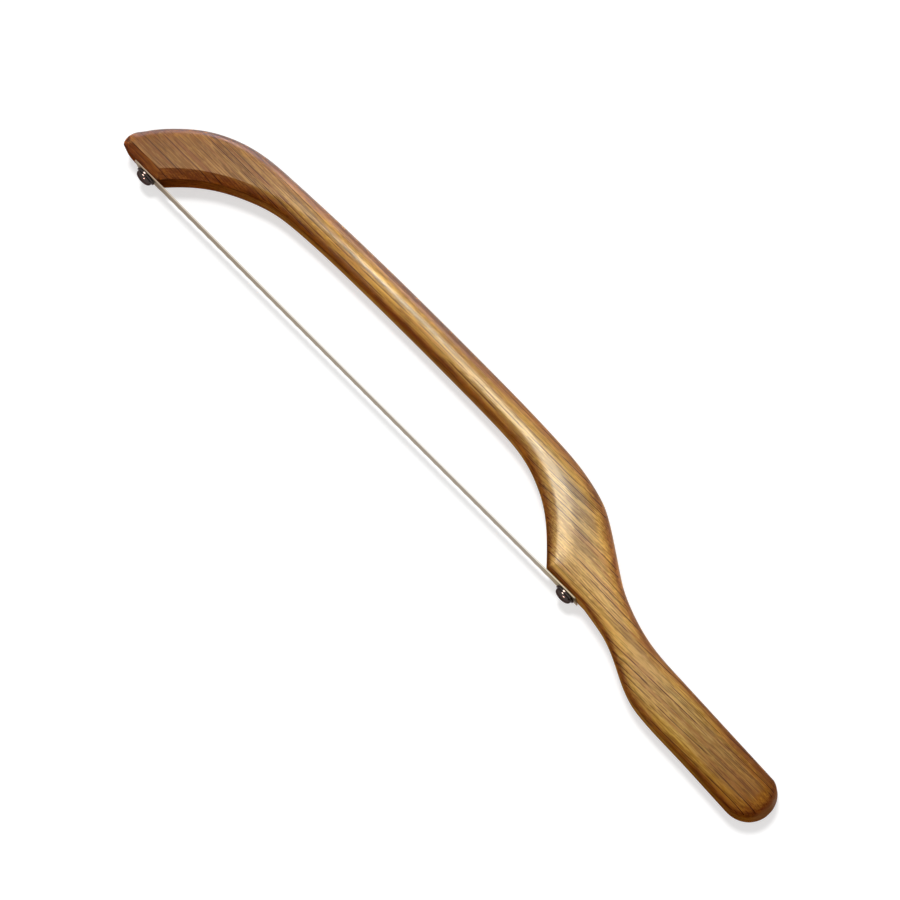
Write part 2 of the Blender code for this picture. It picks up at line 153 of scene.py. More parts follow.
# Inner edge of the bow beside each seat: distance from the seat in mm, and share of the gap.
INNER_CURVE_TIP = (
    (0.0, 0.000), (5.5, 0.194), (15.5, 0.477), (25.5, 0.670), (35.5, 0.809), (45.5, 0.904),
    (55.5, 0.947), (70.5, 0.977), (95.5, 0.996),
)
INNER_CURVE_HEEL = (
    (85.0, 0.993), (61.5, 0.976), (51.5, 0.955), (41.5, 0.897), (31.5, 0.784), (21.5, 0.614),
    (11.5, 0.361), (0.0, 0.000),
)

# Back of the bow: distance from the blade's near end in mm, and share of the bow's height.
BACK_CURVE_TIP = (
    (-10.2, 0.163), (-8.0, 0.222), (-4.0, 0.344), (0.0, 0.447), (5.0, 0.557), (10.0, 0.652),
    (20.0, 0.791), (30.0, 0.880), (40.0, 0.931), (55.0, 0.960), (80.0, 0.983), (110.0, 0.997),
)
BACK_CURVE_HEEL = (
    (-130.0, 1.000), (-100.0, 0.994), (-75.0, 0.984), (-55.0, 0.966), (-40.0, 0.936),
    (-30.0, 0.892), (-20.0, 0.820), (-10.0, 0.692), (0.0, 0.546),
)

# Waist between the heel block and the grip: distance past the blade's end, and y, in mm.
WAIST_BACK = ((10, 18.0), (20, 13.5), (30, 10.3), (40, 8.3))
WAIST_INNER = ((12, -1.4), (20, -3.2), (30, -7.2), (40, -12.0), (50, -15.3))

# Rounding of the long edges: place, width and drop in mm, and roundness. A roundness of 1 is a
# full quarter round, and 0 a flat chamfer that meets the face in a crisp ridge. The tip lists
# count from the blade's tip end, and the heel lists from its handle end.
INNER_EDGE_TIP = (
    (-4.4, 3.8, 4.0, 0.00),
    (6.0, 4.0, 4.0, 0.00),
    (14.0, 4.0, 4.0, 0.00),
    (30.0, 3.4, 4.0, 0.05),
    (45.0, 3.8, 4.6, 0.25),
    (60.0, 4.6, 6.0, 0.60),
    (75.0, 6.0, 7.5, 1.00),
    (90.0, 6.9, 8.0, 1.00),
)
INNER_EDGE_HEEL = (
    (-80.0, 6.9, 8.0, 1.00),
    (-55.0, 8.5, 8.5, 1.00),
    (-35.0, 10.0, 8.5, 1.00),
    (-23.0, 7.5, 6.5, 0.90),
    (-15.0, 4.2, 4.0, 0.80),
    (5.0, 4.0, 4.2, 0.80),
    (25.0, 5.6, 6.0, 1.00),
    (40.0, 5.6, 6.8, 1.00),
    (95.0, 5.6, 6.4, 1.00),
    (118.0, 7.0, 6.2, 1.00),
)
BACK_EDGE_TIP = (
    (-4.4, 4.6, 4.0, 0.80),
    (6.0, 5.4, 4.6, 1.00),
    (40.0, 6.2, 6.4, 1.00),
    (75.0, 6.9, 8.0, 1.00),
)
BACK_EDGE_HEEL = (
    (-80.0, 6.9, 8.0, 1.00),
    (-40.0, 7.5, 8.0, 1.00),
    (-10.0, 6.5, 7.0, 1.00),
    (25.0, 5.6, 6.4, 1.00),
    (95.0, 5.6, 6.4, 1.00),
    (118.0, 7.0, 6.2, 1.00),
)
ROUNDING_LIMIT = 0.475

# The faces fall away to their edges by this share of the crown, at most a CROWN_SPAN part of the
# flat's width.
CROWN_SPAN = 30
CROWN_SHARES = (
    (-10 * MM, 0.07), (170 * MM, 0.07), (215 * MM, 0.30), (250 * MM, 0.36), (280 * MM, 1.00),
    (320 * MM, 0.14), (400 * MM, 0.07),
)

# Tones along the board, as places in mm and sRGB values that multiply the wood's colour and sheen.
# BOARD_TONES are partly the wood's own tone and partly painted shade, darker where the light falls
# off towards both ends.
BOARD_TONES = (
    (-10, "#cbaca8"), (45, "#d6c2b4"), (85, "#ece1c9"), (115, "#fffae0"), (150, "#f0e9da"),
    (200, "#e7e4e4"), (250, "#e4e1e1"), (282, "#ffffff"), (325, "#e8e3dd"), (355, "#d9d3ad"),
    (385, "#bfa981"), (402, "#b4976f"),
)
# Colour of the painted shade on the rounded edges and walls, along the board.
EDGE_SHADE_TONES = (
    (40, "#e4dcc8"), (90, "#d4c8c0"), (130, "#ccb8b4"), (170, "#dcd0c8"), (200, "#fffcea"),
    (250, "#e7e4dc"), (282, "#cdb8ac"), (320, "#dcd8d8"), (402, "#e1e4ec"),
)
FACE_SHEEN = (
    (40, "#989898"), (85, "#b8b8b8"), (110, "#e0e0e0"), (140, "#b0b0b0"), (170, "#8c8c8c"),
    (200, "#8c8c8c"), (240, "#b0b0b0"), (270, "#8a8a8a"), (300, "#969696"), (350, "#747474"),
    (402, "#454545"),
)
BACK_SHEEN = (
    (60, "#ffffff"), (80, "#e4e4e4"), (140, "#f0f0f0"), (200, "#a0a0a0"), (300, "#a0a0a0"),
    (340, "#7a7a7a"), (402, "#626262"),
)
# Painted reflection: the blade is tinted browner near its ends, standing for the wood it reflects
# there.
BLADE_WOOD_REFLECTION = (
    (13, "#b4a08c"), (24, "#e0d6cc"), (80, "#f4f0ea"), (140, "#ffffff"), (256, "#ffffff"),
    (266, "#ece2c6"), (282, "#d0c0a0"),
)

# How finely the bow is drawn. The flats keep a line of points close beside each ridge, so that
# the ridge stays crisp under smooth shading.
TRACE_STEP = 0.125 * MM
EASING_LENGTH = 6 * MM
HALVINGS = 30
CORNER_STEPS = 12
END_STEPS = 24
FLAT_STEPS = 6
RIDGE_SPACE = 0.35 * MM
WALL_EASE = 1.5 * MM
MITRE = 2.4 * MM
SEAT_STEP = 1.0 * MM
CURVE_STEP = 1.3 * MM
ARM_STEP = 2.6 * MM
ARM_SPAN = (60 * MM, BLADE_LENGTH - 80 * MM)
MERGE_DISTANCE = 0.004 * MM

# Blade: a strip of stainless steel, scalloped along its lower edge.
BLADE_CORNER = 0.3 * MM
BLADE_CORNER_STEPS = 8
PLAIN_END = 13.5 * MM
SCALLOP_COUNT = 40
SCALLOP_DEPTH = 1.1 * MM
SCALLOP_STEPS = 12
GRIND_HEIGHT = 3.4 * MM
GRIND_WAVE = 0.7 * MM
GRIND_FADE = (PLAIN_END - 2.1 * MM, PLAIN_END - 1.2 * MM)
EDGE_THICKNESS = 0.08 * MM
HOLE_RADIUS = 2.4 * MM

# Fixings: domed heads with a cross recess, on flat washers. The pilot holes run a PILOT_SPARE
# deeper than the screws, and the cutters reach a CUT_MARGIN past what they cut.
ENDS = ("tip", "handle")
TURN_STEPS = 74
DOME_STEPS = 16
HEAD_ROUNDNESS = 0.85
SHANK_RADIUS = 2.1 * MM
SCREW_POINT = 4.5 * MM
PILOT_RADIUS = 2.35 * MM
PILOT_SPARE = 0.8 * MM
CUT_MARGIN = 2 * MM
RECESS_SPAN = 4.6 * MM
RECESS_SLOT = 0.9 * MM
RECESS_DEPTH = 1.4 * MM
RECESS_TAPER = 0.55
RECESS_TURN = math.radians(20)
WASHER_EDGE = 0.18 * MM

SHARP_ANGLE = math.radians(35)

# Settings of the nodes that ease a value, mix two colours and tint one by another.
EASED = {"interpolation_type": "SMOOTHSTEP"}
MIXED = {"data_type": "RGBA"}
TINTED = {"data_type": "RGBA", "blend_type": "MULTIPLY"}


def linear(hex_colour):
    """The linear colour of an sRGB hex value such as "#b07f45"."""
    channels = [int(hex_colour[i : i + 2], 16) / 255 for i in (1, 3, 5)]
    return tuple(c / 12.92 if c <= 0.04045 else ((c + 0.055) / 1.055) ** 2.4 for c in channels)


class OakSettings(bpy.types.PropertyGroup):
    pale: bpy.props.FloatVectorProperty(
        name="Pale wood",
        description="Colour of the pale growth",
        subtype="COLOR", min=0, max=1, default=linear("#e2b157"),
    )
    dark: bpy.props.FloatVectorProperty(
        name="Dark wood",
        description="Colour of the dark growth",
        subtype="COLOR", min=0, max=1, default=linear("#b1833b"),
    )
    red: bpy.props.FloatVectorProperty(
        name="Red streaks",
        description="Colour of the reddish streaks",
        subtype="COLOR", min=0, max=1, default=linear("#b06f3a"),
    )
    pore: bpy.props.FloatVectorProperty(
        name="Pores",
        description="Colour of the long open pores, which hold the oil",
        subtype="COLOR", min=0, max=1, default=linear("#52301f"),
    )
    # Painted shade: this tint darkens the rounded edges and walls as they turn away from the face.
    edge: bpy.props.FloatVectorProperty(
        name="Edge tint",
        description="Tint of the rounded edges and sides, which take more oil",
        subtype="COLOR", min=0, max=1, default=linear("#d6ae9c"),
    )
    end_grain: bpy.props.FloatVectorProperty(
        name="End grain",
        description="Colour where the fibres are cut across",
        subtype="COLOR", min=0, max=1, default=linear("#70482b"),
    )
    ring_width: bpy.props.FloatProperty(
        name="Growth ring",
        description="Width of one year's growth",
        subtype="DISTANCE", default=1.6 * MM,
    )
    wander: bpy.props.FloatProperty(
        name="Wander",
        description="How far the fibres drift sideways",
        subtype="DISTANCE", default=4 * MM,
    )
    pore_width: bpy.props.FloatProperty(
        name="Pore width",
        description="Width of a pore line, drawn wider than the real 0.2 mm so that it shows",
        subtype="DISTANCE", default=0.3 * MM,
    )
    pore_length: bpy.props.FloatProperty(
        name="Pore length",
        description="Length of a pore line along the grain",
        subtype="DISTANCE", default=36 * MM,
    )
    pore_gap: bpy.props.FloatProperty(
        name="Pore gap",
        description="Distance from one pore line to the next",
        subtype="DISTANCE", default=2.1 * MM,
    )
    crown: bpy.props.FloatProperty(
        name="Crown",
        description="How much the sanded heel block falls away towards its edges",
        subtype="DISTANCE", default=0.7 * MM,
    )


class SteelSettings(bpy.types.PropertyGroup):
    blade: bpy.props.FloatVectorProperty(
        name="Blade",
        description="Colour of the blade's faces",
        subtype="COLOR", min=0, max=1, default=linear("#c2bcb2"),
    )
    spine: bpy.props.FloatVectorProperty(
        name="Spine",
        description="Colour of the freshly cut spine and ground edge",
        subtype="COLOR", min=0, max=1, default=linear("#eeeae2"),
    )
    # Painted reflection: the fixings are coloured far darker than bare steel, standing for the dark
    # room they reflect.
    fixing: bpy.props.FloatVectorProperty(
        name="Fixings",
        description="Colour of the polished screws and washers",
        subtype="COLOR", min=0, max=1, default=linear("#433a37"),
    )
    line_spacing: bpy.props.FloatProperty(
        name="Grinding lines",
        description="Spacing of the grinding lines, wider than the real ones so that they show",
        subtype="DISTANCE", default=0.15 * MM,
    )


class StageSettings(bpy.types.PropertyGroup):
    daylight: bpy.props.FloatProperty(
        name="Overhead light",
        description="Share of the light that comes from the overhead lamp and throws the shadow",
        subtype="FACTOR", min=0, max=1, default=0.62,
    )
    room: bpy.props.FloatProperty(
        name="Room light",
        description="Share of the light that comes evenly from all round",
        subtype="FACTOR", min=0, max=1, default=0.38,
    )
    paper: bpy.props.FloatProperty(
        name="Paper glow",
        description="How much light the paper gives by itself, which sets how grey its shadow is",
        subtype="FACTOR", min=0, max=1, default=0.60,
    )


def add_node(owner, kind, inputs=(), **settings):
    """A node of a material or the world, with its settings. Its inputs are linked or set, in order
    or by name, and a node given for an input stands for its own first output."""
    node = owner.node_tree.nodes.new(kind)
    for name, value in settings.items():
        setattr(node, name, value)
    if isinstance(inputs, dict):
        pairs = [(node.inputs[name], value) for name, value in inputs.items()]
    else:
        pairs = zip([socket for socket in node.inputs if socket.enabled], inputs)
    for socket, value in pairs:
        if isinstance(value, bpy.types.Node):
            value = next(output for output in value.outputs if output.enabled)
        if isinstance(value, bpy.types.NodeSocket):
            owner.node_tree.links.new(value, socket)
        else:
            socket.default_value = value
    return node


def new_material(name):
    """An empty material."""
    material = bpy.data.materials.new(name)
    material.use_nodes = True
    material.node_tree.nodes.clear()
    return material


def opaque(colour):
    return (*colour, 1)


def streaks(material, place, across, along, detail):
    """Noise drawn out along the grain: its cells are this many metres across and along."""
    scale = (1 / along, 1 / across, 1 / across)
    space = add_node(material, "ShaderNodeMapping", {"Vector": place, "Scale": scale})
    return add_node(material, "ShaderNodeTexNoise", (space, 1.0, detail))


def tones_along(material, along, tones):
    """A colour for each place along the bow, blended between (place in mm, sRGB hex) stops."""
    ends = ORIGIN.x - NOSE_REACH, ORIGIN.x + BUTT_X
    share = add_node(material, "ShaderNodeMapRange", (along, *ends))
    ramp = add_node(material, "ShaderNodeValToRGB", (share,))
    elements = ramp.color_ramp.elements
    spots = [(place * MM + NOSE_REACH) / (BUTT_X + NOSE_REACH) for place, _ in tones]
    elements[0].position, elements[1].position = spots[0], spots[-1]
    for spot in spots[1:-1]:
        elements.new(spot)
    for element, (_, hex_colour) in zip(elements, tones):
        element.color = opaque(linear(hex_colour))
    return ramp


def pore_lines(material, fibres, upright, gap, length, width):
    """Thin lines along the grain, at most one in each cell this wide and long: 0 beside them, up
    to 1 on them. The cells lie side by side on the faces, and stacked on the upright walls."""
    node = partial(add_node, material)
    spread = node("ShaderNodeSeparateXYZ", (fibres,)).outputs
    across = node("ShaderNodeMix", (upright, spread["Y"], spread["Z"]))
    across = node("ShaderNodeMath", (across, gap), operation="DIVIDE")
    row = node("ShaderNodeMath", (across,), operation="FLOOR")
    chance = node("ShaderNodeTexWhiteNoise", (row,), noise_dimensions="1D")
    middle = node("ShaderNodeMath", (chance, 0.5, 0.25), operation="MULTIPLY_ADD")
    off_line = node("ShaderNodeMath", (across,), operation="FRACT")
    off_line = node("ShaderNodeMath", (off_line, middle), operation="SUBTRACT")
    off_line = node("ShaderNodeMath", (off_line,), operation="ABSOLUTE")
    half = width / gap / 2
    line = node("ShaderNodeMapRange", (off_line, 1.5 * half, 0.5 * half), **EASED)
    along = node("ShaderNodeMath", (spread["X"], length), operation="DIVIDE")
    along = node("ShaderNodeMath", (chance, 37, along), operation="MULTIPLY_ADD")
    cell = node("ShaderNodeMath", (along,), operation="FLOOR")
    cell = node("ShaderNodeCombineXYZ", (row, cell))
    drawn = node("ShaderNodeTexWhiteNoise", (cell,), noise_dimensions="2D")
    from_end = node("ShaderNodeMath", (along, 0.5), operation="PINGPONG")
    tapered = node("ShaderNodeMapRange", (from_end, 0.0, 0.15), **EASED)
    line = node("ShaderNodeMath", (line, tapered), operation="MULTIPLY")
    strength = node("ShaderNodeMapRange", (drawn, 0.2, 0.6), **EASED)
    return node("ShaderNodeMath", (line, strength), operation="MULTIPLY")


def oiled_oak(settings):
    """Oak rubbed with oil: golden streaks and long dark pores along the grain, browner ends that
    are partly the wood's own tone and partly painted shade, edges painted darker as painted shade,
    dark end grain, and a soft sheen on the faces and the back that fades along the grip."""
    material = new_material("oil_rubbed_oak")
    node = partial(add_node, material)
    texture = node("ShaderNodeTexCoord").outputs
    place = texture["Object"]
    normal = node("ShaderNodeSeparateXYZ", (texture["Normal"],)).outputs
    along = node("ShaderNodeSeparateXYZ", (place,)).outputs["X"]

    # The fibres run straight at the tip, and wander sideways by about a millimetre further on.
    drift = streaks(material, place, 22 * MM, 90 * MM, 1.5).outputs["Color"]
    drift = node("ShaderNodeVectorMath", (drift, (0.5, 0.5, 0.5)), operation="SUBTRACT")
    reach = (0, settings.wander, settings.wander)
    drift = node("ShaderNodeVectorMath", (drift, reach), operation="MULTIPLY")
    stretch = (along, ORIGIN.x, ORIGIN.x + 0.7 * BLADE_LENGTH, 0.2, 1.0)
    share = node("ShaderNodeMapRange", stretch, **EASED)
    drift = node("ShaderNodeVectorMath", (drift, share), operation="SCALE")
    fibres = node("ShaderNodeVectorMath", (place, drift), operation="ADD")

    # Growth rings lie round a heart below and beside the board, and run nearly parallel to it.
    heart = {"Vector": fibres, "Location": (0, 0.055, 0.075), "Scale": (0, 1, 1)}
    heart = node("ShaderNodeMapping", heart)
    radius = node("ShaderNodeVectorMath", (heart,), operation="LENGTH")
    rings = node("ShaderNodeMath", (radius, settings.ring_width), operation="DIVIDE")
    slow = node("ShaderNodeMath", (along, 160 * MM), operation="DIVIDE")
    growth = node("ShaderNodeCombineXYZ", (rings, slow))
    growth = node("ShaderNodeTexNoise", (growth, 1.0, 2.0), noise_dimensions="2D")
    fine = streaks(material, fibres, 0.9 * MM, 22 * MM, 2.0)
    hair = streaks(material, place, 0.45 * MM, 4.5 * MM, 1.0)
    patch = streaks(material, fibres, 3.5 * MM, 60 * MM, 1.0)
    tone = fine
    for pattern, weight in ((growth, 1.2), (patch, 0.6), (hair, 1.3)):
        tone = node("ShaderNodeMath", (pattern, weight, tone), operation="MULTIPLY_ADD")
    tone = node("ShaderNodeMapRange", (tone, 1.67, 2.43), **EASED)
    wood = node("ShaderNodeMix", (tone, opaque(settings.dark), opaque(settings.pale)), **MIXED)
    red = streaks(material, fibres, 2.0 * MM, 55 * MM, 2.0)
    red = node("ShaderNodeMapRange", (red, 0.50, 0.66, 0.0, 0.45), **EASED)
    wood = node("ShaderNodeMix", (red, wood, opaque(settings.red)), **MIXED)

    # Pores: dark lines of open vessels, long ones with fainter short ones between them. End grain
    # shows none.
    level = node("ShaderNodeMath", (normal["Z"],), operation="ABSOLUTE")
    upright = node("ShaderNodeMath", (level, 0.5), operation="LESS_THAN")
    gap, length, width = settings.pore_gap, settings.pore_length, settings.pore_width
    pore = pore_lines(material, fibres, upright, gap, length, width)
    short = pore_lines(material, fibres, upright, gap / 2, length / 4, width)
    short = node("ShaderNodeMath", (short, 0.5), operation="MULTIPLY")
    pore = node("ShaderNodeMath", (pore, short), operation="MAXIMUM")
    cut_across = node("ShaderNodeMath", (normal["X"],), operation="ABSOLUTE")
    closed = node("ShaderNodeMapRange", (cut_across, 0.9, 0.6), **EASED)
    pore = node("ShaderNodeMath", (pore, closed), operation="MULTIPLY")
    wood = node("ShaderNodeMix", (pore, wood, opaque(settings.pore)), **MIXED)

    # The board is palest in the middle and browner towards the tip and the grip: partly the wood's
    # own tone, partly painted shade where the light falls off towards both ends.
    tones = tones_along(material, along, BOARD_TONES)
    wood = node("ShaderNodeMix", (1.0, wood, tones), **TINTED)

    # Painted shade: the rounded edges and walls are painted darker and redder as they turn away
    # from the face. Past the tip the foot of the walls is painted less dark, and the back slightly
    # less, as painted light thrown up from the paper and in from behind.
    side_shade = node("ShaderNodeMapRange", (level, 1.0, 0.6), **EASED)
    foot_bounce_light = node("ShaderNodeMapRange", (level, 0.45, 0.08, 0.0, 0.45), **EASED)
    arm = (along, ORIGIN.x + 20 * MM, ORIGIN.x + 70 * MM)
    arm = node("ShaderNodeMapRange", arm, **EASED)
    foot_bounce_light = node("ShaderNodeMath", (foot_bounce_light, arm), operation="MULTIPLY")
    backward = node("ShaderNodeMapRange", (normal["Y"], 0.05, 0.35), **EASED)
    back = node("ShaderNodeMath", (backward, 0.1), operation="MULTIPLY")
    for lightened in (foot_bounce_light, back):
        shade_kept = node("ShaderNodeMath", (1.0, lightened), operation="SUBTRACT")
        side_shade = node("ShaderNodeMath", (side_shade, shade_kept), operation="MULTIPLY")
    tones = tones_along(material, along, EDGE_SHADE_TONES)
    tint = node("ShaderNodeMix", (1.0, opaque(settings.edge), tones), **TINTED)
    wood = node("ShaderNodeMix", (side_shade, wood, tint), **TINTED)

    # End grain: where the fibres are cut across, the wood drinks the oil.
    drinking = node("ShaderNodeMapRange", (cut_across, 0.7, 1.0, 0.0, 0.7), **EASED)
    wood = node("ShaderNodeMix", (drinking, wood, opaque(settings.end_grain)), **MIXED)

    # The sheen lies on the faces and the back, broken by small flecks across the grain.
    facing = node("ShaderNodeMapRange", (level, 0.45, 0.9), **EASED)
    tones = tones_along(material, along, FACE_SHEEN)
    sheen = node("ShaderNodeMix", (facing, (0, 0, 0, 1), tones), **MIXED)
    tones = tones_along(material, along, BACK_SHEEN)
    sheen = node("ShaderNodeMix", (backward, sheen, tones), **MIXED)
    flecks = streaks(material, place, 2.2 * MM, 0.9 * MM, 2.0)
    broken = node("ShaderNodeMath", (flecks, hair), operation="ADD")
    broken = node("ShaderNodeMapRange", (broken, 0.7, 1.3, 0.7, 1.1), **EASED)
    sheen = node("ShaderNodeMath", (sheen, broken), operation="MULTIPLY")
    height = node("ShaderNodeMath", (fine, pore), operation="SUBTRACT")
    bump = node("ShaderNodeBump", {"Height": height, "Strength": 0.05, "Distance": 0.1 * MM})
    surface = {
        "Base Color": wood,
        "Roughness": 0.6,
        "Specular IOR Level": 0.0,
        "Coat Weight": sheen,
        "Coat Roughness": 0.3,
        "Normal": bump,
    }
    node("ShaderNodeOutputMaterial", (node("ShaderNodeBsdfPrincipled", surface),))
    return material


def ground_steel(settings):
    """Hardened stainless strip: a plain grey face with fine lines along it, and a brighter sheared
    spine and honed edge. A painted reflection makes the face look warm and dull at a glance, and
    browner near both ends, where the wood lies beside it."""
    material = new_material("ground_stainless_strip")
    node = partial(add_node, material)
    texture = node("ShaderNodeTexCoord").outputs
    place = node("ShaderNodeSeparateXYZ", (texture["Object"],)).outputs
    normal = node("ShaderNodeSeparateXYZ", (texture["Normal"],)).outputs
    spine = node("ShaderNodeMapRange", (normal["Z"], 0.5, 0.8), **EASED)
    top = BLADE_LOW.z + GRIND_HEIGHT
    honed = node("ShaderNodeMapRange", (place["Z"], top, top - 0.8 * MM, 0.0, 0.55), **EASED)
    fresh = node("ShaderNodeMath", (spine, honed), operation="MAXIMUM")
    colours = opaque(settings.blade), opaque(settings.spine)
    colour = node("ShaderNodeMix", (fresh, *colours), **MIXED)
    # Painted reflection of the wood, browner towards the blade's ends.
    tones = tones_along(material, place["X"], BLADE_WOOD_REFLECTION)
    colour = node("ShaderNodeMix", (1.0, colour, tones), **TINTED)
    lines = streaks(material, texture["Object"], settings.line_spacing, 40 * MM, 2.0)
    bump = node("ShaderNodeBump", {"Height": lines, "Strength": 0.2, "Distance": 0.01 * MM})
    surface = {
        "Base Color": colour,
        "Metallic": 1.0,
        "Roughness": node("ShaderNodeMapRange", {"Value": lines, "To Min": 0.22, "To Max": 0.38}),
        # A brown edge tint: a painted reflection that makes the face look warm and dull where it is
        # seen edge-on.
        "Specular Tint": (0.51, 0.44, 0.365, 1),
        "Normal": bump,
    }
    node("ShaderNodeOutputMaterial", (node("ShaderNodeBsdfPrincipled", surface),))
    return material


def polished_steel(settings):
    """Stainless screws and washers, turned and tumbled bright: a mirror painted dark, as a painted
    reflection of a dark room, with small, sharp highlights."""
    material = new_material("polished_stainless_fixings")
    node = partial(add_node, material)
    place = node("ShaderNodeTexCoord").outputs["Object"]
    smears = streaks(material, place, 2 * MM, 2 * MM, 2.0)
    surface = {
        "Base Color": opaque(settings.fixing),
        "Metallic": 1.0,
        "Roughness": node("ShaderNodeMapRange", {"Value": smears, "To Min": 0.10, "To Max": 0.22}),
        # A dark edge tint: painted shade on the rims, where bare steel would reflect the white
        # room.
        "Specular Tint": (0.40, 0.36, 0.36, 1),
    }
    node("ShaderNodeOutputMaterial", (node("ShaderNodeBsdfPrincipled", surface),))
    return material


def smooth_line(knots):
    """A natural cubic spline through the knots, as a function of x."""
    x, y = np.array(knots, float).T
    step = np.diff(x)
    count = len(x)
    system = np.eye(count)
    right = np.zeros(count)
    for i in range(1, count - 1):
        system[i, i - 1 : i + 2] = step[i - 1], 2 * (step[i - 1] + step[i]), step[i]
        right[i] = 6 * ((y[i + 1] - y[i]) / step[i] - (y[i] - y[i - 1]) / step[i - 1])
    bend = np.linalg.solve(system, right)

    def at(place):
        i = np.clip(np.searchsorted(x, place) - 1, 0, count - 2)
        before, after, span = place - x[i], x[i + 1] - place, step[i]
        curve = (bend[i] * after**3 + bend[i + 1] * before**3) / (6 * span)
        start = (y[i] / span - bend[i] * span / 6) * after
        end = (y[i + 1] / span - bend[i + 1] * span / 6) * before
        return curve + start + end

    return at


def grip_knots(side):
    """Knots of one long edge of the grip, on the +y side for 1 and the -y side for -1."""
    places = np.linspace(BLADE_LENGTH + HANDLE_START, BUTT_X, 4)
    fall = math.tan(HANDLE_TILT) * (places - BLADE_LENGTH - HANDLE_START)
    return list(zip(places, side * HANDLE_WIDTH / 2 - HANDLE_AXIS_DROP - fall))


def inner_edge(place):
    """Height in y of the bow's inner edge, before the nose and butt are rounded."""
    curve = [(TIP_SEAT_LENGTH + along * MM, share * SLICE_GAP) for along, share in INNER_CURVE_TIP]
    curve += [(HEEL_SEAT_START - away * MM, share * SLICE_GAP) for away, share in INNER_CURVE_HEEL]
    waist = [(HEEL_SEAT_END, 0.0)]
    waist += [(BLADE_LENGTH + along * MM, height * MM) for along, height in WAIST_INNER]
    lift_start = NOSE_LIFT_LENGTH - NOSE_REACH
    lift = NOSE_LIFT * np.clip((lift_start - place) / NOSE_LIFT_LENGTH, 0, 1) ** 2
    in_curve = (place > TIP_SEAT_LENGTH) & (place < HEEL_SEAT_START)
    past_heel = place > HEEL_SEAT_END
    height = np.where(in_curve, smooth_line(curve)(place), lift)
    return np.where(past_heel, smooth_line(waist + grip_knots(-1))(place), height)


def back_edge(place):
    """Height in y of the back of the bow, before the nose and butt are rounded."""
    knots = [(along * MM, share * BOW_HEIGHT) for along, share in BACK_CURVE_TIP]
    knots += [(BLADE_LENGTH + along * MM, share * BOW_HEIGHT) for along, share in BACK_CURVE_HEEL]
    knots += [(BLADE_LENGTH + along * MM, height * MM) for along, height in WAIST_BACK]
    return smooth_line(knots + grip_knots(1))(place)


def eased(values):
    """The values with their corners smoothed over EASING_LENGTH."""
    reach = round(EASING_LENGTH / TRACE_STEP)
    kernel = np.hanning(2 * reach + 1)
    padded = np.pad(values, reach, mode="edge")
    return np.convolve(padded, kernel / kernel.sum(), mode="valid")


def end_rounding(place, butt_round):
    """Share of the full width at each place: 0 at the very nose and butt, 1 past their rounds."""
    nose = np.clip((place + NOSE_REACH) / NOSE_ROUND, 0, 1)
    butt = np.clip((BUTT_X - place) / butt_round, 0, 1)
    return np.sqrt(1 - (1 - nose) ** 2) * np.sqrt(1 - (1 - butt) ** 2)


class BowEdge:
    """One long edge of the bow, traced from nose to butt, with the rounding it carries."""

    def __init__(self, places, heights, side, tip_rounding, heel_rounding):
        self.places = places
        self.heights = heights
        self.side = side
        tip, heel = np.array(tip_rounding), np.array(heel_rounding)
        heel[:, 0] += BLADE_LENGTH / MM
        at, width, drop, roundness = np.concatenate((tip, heel)).T
        self.width = eased(np.interp(places, at * MM, width * MM))
        self.drop = eased(np.interp(places, at * MM, drop * MM))
        self.roundness = eased(np.interp(places, at * MM, roundness))

    def corner(self, place, angle):
        """(y, drop left) where the corner has turned by this angle from the vertical side."""
        roundness = np.interp(place, self.places, self.roundness)
        turned = angle / (math.pi / 2)
        inset = (1 - roundness) * turned + roundness * (1 - math.cos(angle))
        rise = (1 - roundness) * turned + roundness * math.sin(angle)
        reach = self.width * inset
        near = np.abs(self.places - place) <= reach
        away = np.sqrt(reach[near] ** 2 - (self.places[near] - place) ** 2)
        around = self.side * self.heights[near] + away
        here = self.side * np.interp(place, self.places, self.heights)
        here += inset * np.interp(place, self.places, self.width)
        drop = np.interp(place, self.places, self.drop)
        return self.side * np.max(np.append(around, here)), drop * (1 - rise)


def trace_edges():
    """The inner edge and the back of the bow."""
    count = round((BUTT_X + NOSE_REACH) / TRACE_STEP) + 1
    places = np.linspace(-NOSE_REACH, BUTT_X, count)
    inner, back = inner_edge(places), back_edge(places)
    past_grip = np.clip(1 - (BUTT_X - places) / BUTT_ROUND_INNER, 0, 1)
    middle = (inner + back) / 2 + BUTT_SKEW * past_grip
    inner = middle + end_rounding(places, BUTT_ROUND_INNER) * (inner - middle)
    back = middle + end_rounding(places, BUTT_ROUND_BACK) * (back - middle)
    inner_side = BowEdge(places, inner, 1, INNER_EDGE_TIP, INNER_EDGE_HEEL)
    back_side = BowEdge(places, back, -1, BACK_EDGE_TIP, BACK_EDGE_HEEL)
    width_limit = ROUNDING_LIMIT * (back - inner)
    thin = (places > TIP_SEAT_LENGTH) & (places < BLADE_LENGTH + HANDLE_START)
    for edge in (inner_side, back_side):
        edge.width = np.where(thin, np.minimum(edge.width, width_limit), edge.width)
    return inner_side, back_side


